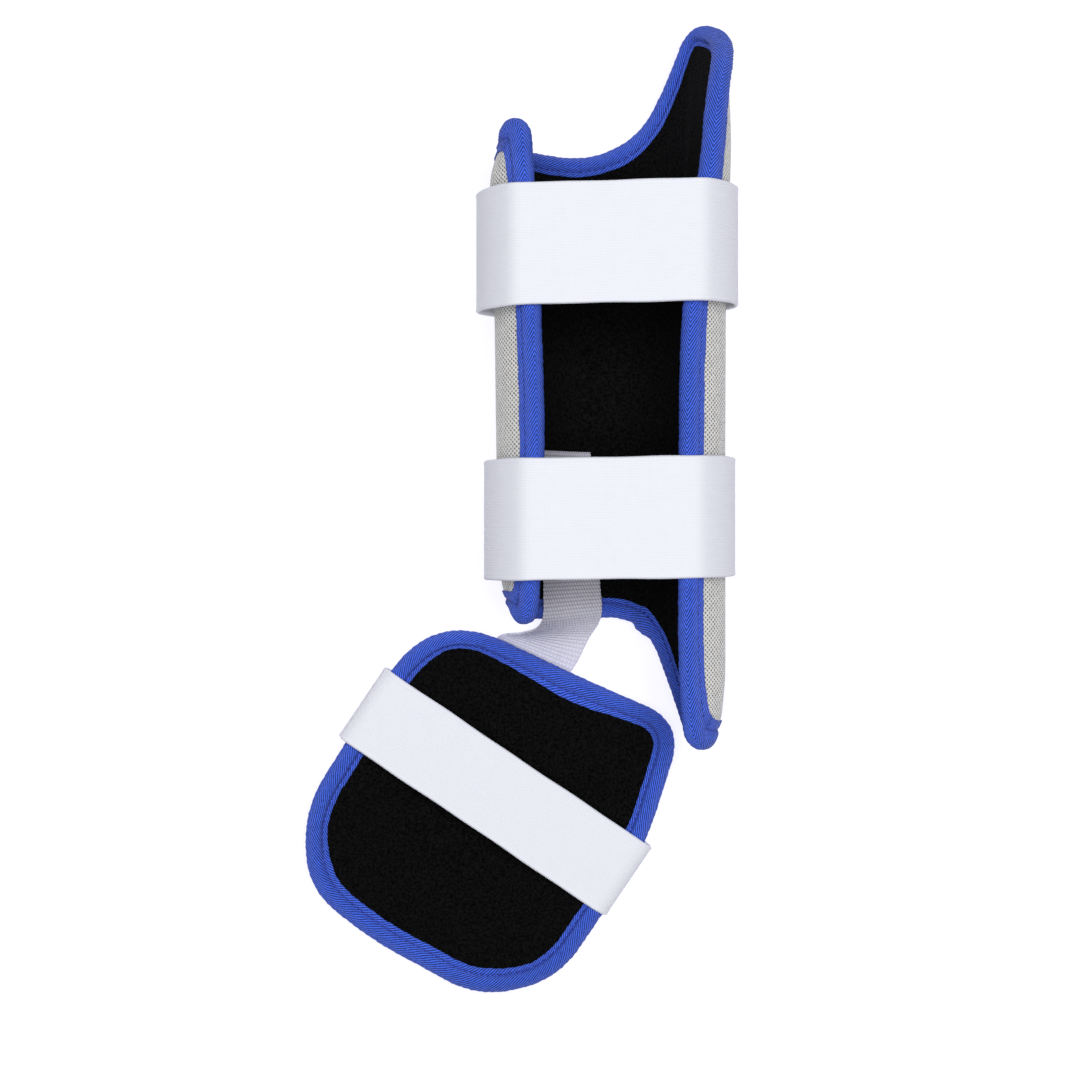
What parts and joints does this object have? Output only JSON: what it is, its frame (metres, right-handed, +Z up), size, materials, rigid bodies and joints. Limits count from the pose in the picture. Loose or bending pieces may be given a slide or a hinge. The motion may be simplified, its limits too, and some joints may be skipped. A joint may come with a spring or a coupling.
{
  "type": "batter's foot guard",
  "caption": "Padded shin trough with a hinged instep pad, bound in tape, joined by webbing and closed behind the leg and under the foot with elastic straps.",
  "frame": {"origin": "middle of the footprint of the whole guard, on the surface that it lies on", "axes": "+Y along the shin panel towards the knee, +Z up out of the open back, +X to the right seen from above"},
  "size_m": [0.1846, 0.4158, 0.0873],
  "materials": {
    "outer_cloth": "coarse basket weave",
    "lining": "matt fleece",
    "binding": "herringbone twill tape",
    "elastic": "ribbed elastic",
    "webbing": "woven webbing"
  },
  "bodies": {
    "root": {"shin_cover": "outer_cloth", "shin_lining": "lining", "shin_binding": "binding", "link_webbing": "webbing", "upper_strap": "elastic", "lower_strap": "elastic", "instep_cover": "outer_cloth", "instep_lining": "lining", "instep_binding": "binding", "instep_strap": "elastic"}
  },
  "joints": []
}
